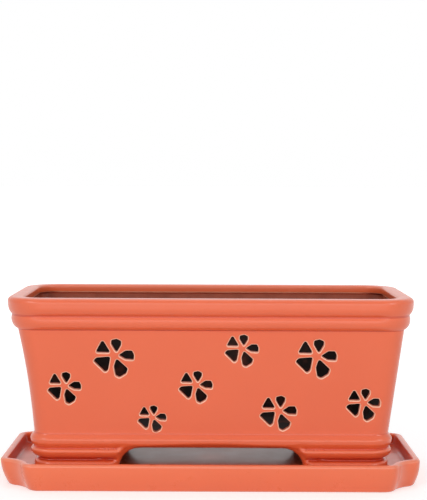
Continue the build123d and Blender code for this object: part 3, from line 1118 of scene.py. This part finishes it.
def makeGroup(name, **sockets):
    # A shader node group and its two end nodes. Each side is a list of (kind, its names).
    group = bpy.data.node_groups.new(name, "ShaderNodeTree")
    for side, kinds in sockets.items():
        for kind, labels in kinds:
            for label in labels:
                group.interface.new_socket(
                    label, in_out=side.upper(), socket_type="NodeSocket" + kind
                )
    return group, group.nodes.new("NodeGroupInput"), group.nodes.new("NodeGroupOutput")


def link(tree, source, target):
    # Joins an output socket to an input socket.
    tree.links.new(source, target)


def mathNode(tree, operation, first, second, third=None, clamp=False):
    # A Math node whose inputs are sockets or numbers.
    node = tree.nodes.new("ShaderNodeMath")
    node.operation = operation
    node.use_clamp = clamp
    for index, value in enumerate((first, second, third)):
        if value is None:
            continue
        if isinstance(value, (int, float)):
            node.inputs[index].default_value = value
        else:
            link(tree, value, node.inputs[index])
    return node.outputs[0]


def noiseNode(tree, vector, scale, detailLevel, roughness):
    # A Noise node's value, from 0 to 1 and near 0.5: scale is its features per metre.
    node = tree.nodes.new("ShaderNodeTexNoise")
    node.inputs["Scale"].default_value = scale
    node.inputs["Detail"].default_value = detailLevel
    node.inputs["Roughness"].default_value = roughness
    link(tree, vector, node.inputs["Vector"])
    return node.outputs[0]


def mixColors(tree, factor, first, second):
    # first (1 - factor) + second factor, each a socket, a number or a colour.
    node = tree.nodes.new("ShaderNodeMix")
    node.data_type = "RGBA"
    colorSockets = [socket for socket in node.inputs if socket.type == "RGBA"]
    for socket, value in zip([node.inputs[0]] + colorSockets, (factor, first, second)):
        if isinstance(value, (int, float, tuple)):
            socket.default_value = value
        else:
            link(tree, value, socket)
    return node.outputs[2]


glazeLook = {
    "slow": (9, 2, 0.5),        # noises: scale, detail and roughness
    "middle": (70, 3, 0.55),
    "fine": (900, 2, 0.6),
    "grain": (2600, 1, 0.5),
    "driftContrast": 3.0,
    "pooledShadeGain": 1.2,
    "edgeUneven": (0.5, 0.72),  # the pale edge's share: middle noise times this, and this more
    "speckFrom": 0.68,          # specks show where the fine noise is above this
    "speckGain": 9.0,
    "speckColor": (0.32, 0.06, 0.03, 1),
    "blotch": (0.5, 0.75),      # the same two for the painted shade
    "roughSway": 0.16,          # how much the noises and the painted shade change the roughness
    "roughGrain": 0.08,
    "roughShaded": 0.6,
    "waveHeight": 0.05,         # millimetres
    "peelHeight": 0.006,
    "pinholeFrom": 0.3,         # pinholes sink where the fine noise is below this
    "pinholeGain": -0.2,
    "shader": {"IOR": 1.5, "Coat IOR": 1.5, "Coat Roughness": 0.13},
}


def glazeGroup():
    # Satin glaze over fired clay. Colour: body tone drifting slowly over the ware, paler
    # where the glaze runs thin on an edge, deeper where it gathers in a groove, which also
    # paints shade there, with fine specks, and painted shade in the shade colour where it is
    # marked. Height: slow waves of the cast wall, orange peel of the glaze and pinholes.
    look = glazeLook
    group, source, result = makeGroup(
        "satinGlaze",
        input=[
            ("Color", ("Body", "Deep", "Pale", "ShadeColor")),
            ("Float", ("ThinAndShade", "PaintedShade", "Drift", "Speckle", "Gloss", "Shine")),
        ],
        output=[("Color", ("Color",)), ("Float", ("Roughness", "Coat", "Height"))],
    )
    place = group.nodes.new("ShaderNodeTexCoord").outputs["Object"]
    slow, middle, fine, grain = [
        noiseNode(group, place, *look[name]) for name in ("slow", "middle", "fine", "grain")
    ]
    body, deep, pale, shadeColor, thinAndShade, paintedShade, drift, speckle, gloss, shine = list(source.outputs)[:-1]
    # Slow drift of the body tone towards the deep tone and back
    sway = mathNode(group, "SUBTRACT", slow, 0.5)
    sway = mathNode(group, "MULTIPLY_ADD", sway, look["driftContrast"], 0.5, clamp=True)
    sway = mathNode(group, "MULTIPLY", sway, drift)
    color = mixColors(group, sway, body, deep)
    # Glaze gathers in grooves, which also paints shade there and on the saucer's inner walls and
    # floor
    pooledShade = mathNode(group, "MULTIPLY", thinAndShade, -look["pooledShadeGain"], clamp=True)
    color = mixColors(group, pooledShade, color, deep)
    # And breaks to a pale line on edges, a little unevenly
    uneven = mathNode(group, "MULTIPLY_ADD", middle, *look["edgeUneven"])
    edge = mathNode(group, "MULTIPLY", thinAndShade, uneven, clamp=True)
    color = mixColors(group, edge, color, pale)
    # Fine iron specks under the glaze, dark and sparse
    speck = mathNode(group, "SUBTRACT", fine, look["speckFrom"])
    speck = mathNode(group, "MULTIPLY", speck, look["speckGain"], clamp=True)
    speck = mathNode(group, "MULTIPLY", speck, speckle)
    color = mixColors(group, speck, color, look["speckColor"])
    # Painted shade darkens the inside towards the shade colour, blotchy where it starts
    blotch = mathNode(group, "MULTIPLY_ADD", middle, *look["blotch"])
    shaded = mathNode(group, "MULTIPLY", paintedShade, blotch, clamp=True)
    color = mixColors(group, shaded, color, shadeColor)
    link(group, color, result.inputs["Color"])
    # The gloss varies a little, and the painted shade dulls it and takes the clear coat away
    dull = mathNode(group, "SUBTRACT", middle, 0.5)
    rough = mathNode(group, "MULTIPLY_ADD", dull, look["roughSway"], gloss)
    grit = mathNode(group, "SUBTRACT", grain, 0.5)
    rough = mathNode(group, "MULTIPLY_ADD", grit, look["roughGrain"], rough)
    rough = mathNode(group, "MULTIPLY_ADD", shaded, look["roughShaded"], rough)
    link(group, rough, result.inputs["Roughness"])
    clear = mathNode(group, "SUBTRACT", 1.0, shaded)
    clear = mathNode(group, "MULTIPLY", clear, shine)
    link(group, clear, result.inputs["Coat"])
    wave = mathNode(group, "MULTIPLY", slow, look["waveHeight"])
    peel = mathNode(group, "MULTIPLY_ADD", middle, look["peelHeight"], wave)
    pin = mathNode(group, "SUBTRACT", look["pinholeFrom"], fine)
    pin = mathNode(group, "MULTIPLY", pin, look["pinholeGain"])
    pin = mathNode(group, "MINIMUM", pin, 0.0)
    height = mathNode(group, "ADD", peel, pin)
    link(group, height, result.inputs["Height"])
    return group


satinGlaze = glazeGroup()

glazes = {
    "pot_glaze": {
        "Body": (0.85, 0.141, 0.046, 1),
        "Deep": (0.62, 0.052, 0.012, 1),
        "Pale": (1.0, 0.60, 0.42, 1),
        "ShadeColor": (0.014, 0.006, 0.005, 1),
        "Drift": 0.10,
        "Speckle": 0.22,
        "Gloss": 0.34,
        "Shine": 0.35,
    },
    "saucer_glaze": {
        # The saucer's body is lighter than the pot's: painted light, for the light from low in
        # front
        "Body": (0.93, 0.178, 0.062, 1),
        "Deep": (0.66, 0.070, 0.018, 1),
        "Pale": (1.0, 0.55, 0.38, 1),
        "ShadeColor": (0.014, 0.006, 0.005, 1),
        "Drift": 0.12,
        "Speckle": 0.22,
        "Gloss": 0.30,
        "Shine": 0.5,
    },
}


def glazeMaterial(name, settings):
    # The glaze with one ware's values, led by that ware's own marks: where it lies thin or
    # pools, and where shade is painted.
    material = bpy.data.materials.new(name)
    material.use_nodes = True
    tree = material.node_tree
    shader = tree.nodes["Principled BSDF"]
    glaze = tree.nodes.new("ShaderNodeGroup")
    glaze.node_tree = satinGlaze
    for label, value in settings.items():
        glaze.inputs[label].default_value = value
    for label, attribute in (("ThinAndShade", "thinAndShade"), ("PaintedShade", "paintedShade")):
        mark = tree.nodes.new("ShaderNodeAttribute")
        mark.attribute_name = attribute
        link(tree, mark.outputs["Fac"], glaze.inputs[label])
    bump = tree.nodes.new("ShaderNodeBump")
    bump.inputs["Strength"].default_value = 1.0
    bump.inputs["Distance"].default_value = mm
    link(tree, glaze.outputs["Height"], bump.inputs["Height"])
    link(tree, glaze.outputs["Color"], shader.inputs["Base Color"])
    link(tree, glaze.outputs["Roughness"], shader.inputs["Roughness"])
    link(tree, glaze.outputs["Coat"], shader.inputs["Coat Weight"])
    link(tree, bump.outputs["Normal"], shader.inputs["Normal"])
    for label, value in glazeLook["shader"].items():
        shader.inputs[label].default_value = value
    return material


for piece, node, body, slot in (
    (potPiece, "pot", "pot", "pot_glaze"),
    (saucerPiece, "saucer", "saucer", "saucer_glaze"),
):
    piece.data.materials.append(glazeMaterial(slot, glazes[slot]))
    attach(piece, body)
    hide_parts(node)
print("glazes made")

studio = {
    "floorSize": 60.0,
    "floorColor": (0.78, 0.79, 0.80, 1),
    "floorShader": {"Roughness": 0.8, "Specular IOR Level": 0.2},
    "liftNear": 0.48,           # added where the camera sees the floor, to reach white:
    "liftFar": 0.75,            # little by the saucer, and all of it past liftReach metres
    "liftReach": 1.1,
    "liftPower": 2.0,           # and as this power of the distance in between
    "worldStrength": 0.39,
    "boxes": [
        # place, what it faces, width, height, power
        ((-1.3, -1.5, 1.15), (0, 0, 0.08), 0.8, 0.8, 9.6),
        ((1.5, -1.4, 1.05), (0, 0, 0.08), 0.8, 0.8, 7.8),
        ((0.0, 0.4, 1.9), (0, 0, 0.08), 1.6, 0.9, 6.5),
        ((0.0, -1.9, 0.48), (0, 0, 0.06), 2.2, 0.9, 8.8),
    ],
}


def seenBackground(tree):
    # 1 where a ray shows the background: straight to the camera, mirrored or through glass.
    path = tree.nodes.new("ShaderNodeLightPath")
    seen = mathNode(tree, "MAXIMUM", path.outputs["Is Camera Ray"], path.outputs["Is Glossy Ray"])
    return mathNode(tree, "MAXIMUM", seen, path.outputs["Is Transmission Ray"])


def buildFloor():
    # A square of pale paper. Where a ray shows it, it glows by near + (far - near) s^power, s
    # the share of liftReach that the point lies from the middle, and it keeps its shadow.
    half = studio["floorSize"] / 2
    mesh = bpy.data.meshes.new("floor")
    mesh.from_pydata(
        [(-half, -half, 0), (half, -half, 0), (half, half, 0), (-half, half, 0)], [], [(0, 1, 2, 3)]
    )
    floor = bpy.data.objects.new("floor", mesh)
    bpy.context.scene.collection.objects.link(floor)
    material = bpy.data.materials.new("paper")
    material.use_nodes = True
    tree = material.node_tree
    shader = tree.nodes["Principled BSDF"]
    shader.inputs["Base Color"].default_value = studio["floorColor"]
    shader.inputs["Emission Color"].default_value = (1, 1, 1, 1)
    for label, value in studio["floorShader"].items():
        shader.inputs[label].default_value = value
    place = tree.nodes.new("ShaderNodeTexCoord").outputs["Object"]
    distance = tree.nodes.new("ShaderNodeVectorMath")
    distance.operation = "LENGTH"
    link(tree, place, distance.inputs[0])
    far = mathNode(tree, "DIVIDE", distance.outputs["Value"], studio["liftReach"], clamp=True)
    far = mathNode(tree, "POWER", far, studio["liftPower"])
    lift = mathNode(
        tree, "MULTIPLY_ADD", far, studio["liftFar"] - studio["liftNear"], studio["liftNear"]
    )
    lift = mathNode(tree, "MULTIPLY", seenBackground(tree), lift)
    link(tree, lift, shader.inputs["Emission Strength"])
    floor.data.materials.append(material)


def buildLight():
    # A white world, dim where it lights the ware and 1 where it shows, and soft boxes.
    world = bpy.data.worlds.new("studio")
    bpy.context.scene.world = world
    world.use_nodes = True
    tree = world.node_tree
    background = tree.nodes["Background"]
    background.inputs["Color"].default_value = (1, 1, 1, 1)
    rest = 1 - studio["worldStrength"]
    strength = mathNode(tree, "MULTIPLY_ADD", seenBackground(tree), rest, studio["worldStrength"])
    link(tree, strength, background.inputs["Strength"])
    for index, (place, aim, width, height, power) in enumerate(studio["boxes"]):
        lamp = bpy.data.lights.new("softbox_" + str(index + 1), "AREA")
        lamp.shape = "RECTANGLE"
        lamp.size = width
        lamp.size_y = height
        lamp.energy = power
        holder = bpy.data.objects.new(lamp.name, lamp)
        turn = (Vector(place) - Vector(aim)).to_track_quat("Z", "Y").to_matrix().to_4x4()
        holder.matrix_world = Matrix.Translation(place) @ turn
        bpy.context.scene.collection.objects.link(holder)


buildFloor()
buildLight()
print("studio made")

view = {
    "place": (0.0008, -0.9651, 0.2360),
    "down": 3.383,              # degrees below level
    "aside": 0.067,             # degrees to the right of straight ahead
    "roll": 0.244,              # degrees anticlockwise
    "pixelWidth": 427,
    "focalPixels": 1210.0,
    "sensorWidth": 36.0,
    "nearest": 0.01,            # the camera sees from here to here, in metres
    "furthest": 100.0,
}


def buildCamera():
    # Looks along (sin a cos d, cos a cos d, -sin d), then rolls about that line.
    down, aside, roll = [math.radians(view[key]) for key in ("down", "aside", "roll")]
    ahead = Vector(
        (math.sin(aside) * math.cos(down), math.cos(aside) * math.cos(down), -math.sin(down))
    )
    right = ahead.cross(Vector((0, 0, 1))).normalized()
    up = right.cross(ahead)
    across = right * math.cos(roll) + up * math.sin(roll)
    above = up * math.cos(roll) - right * math.sin(roll)
    camera = bpy.data.cameras.new("camera")
    camera.sensor_fit = "HORIZONTAL"
    camera.sensor_width = view["sensorWidth"]
    camera.lens = view["focalPixels"] * view["sensorWidth"] / view["pixelWidth"]
    camera.clip_start = view["nearest"]
    camera.clip_end = view["furthest"]
    holder = bpy.data.objects.new("camera", camera)
    turn = Matrix((across, above, -ahead)).transposed().to_4x4()
    holder.matrix_world = Matrix.Translation(view["place"]) @ turn
    bpy.context.scene.collection.objects.link(holder)
    bpy.context.scene.camera = holder


buildCamera()
bpy.context.scene.view_settings.view_transform = "Standard"

bpy.context.view_layer.update()
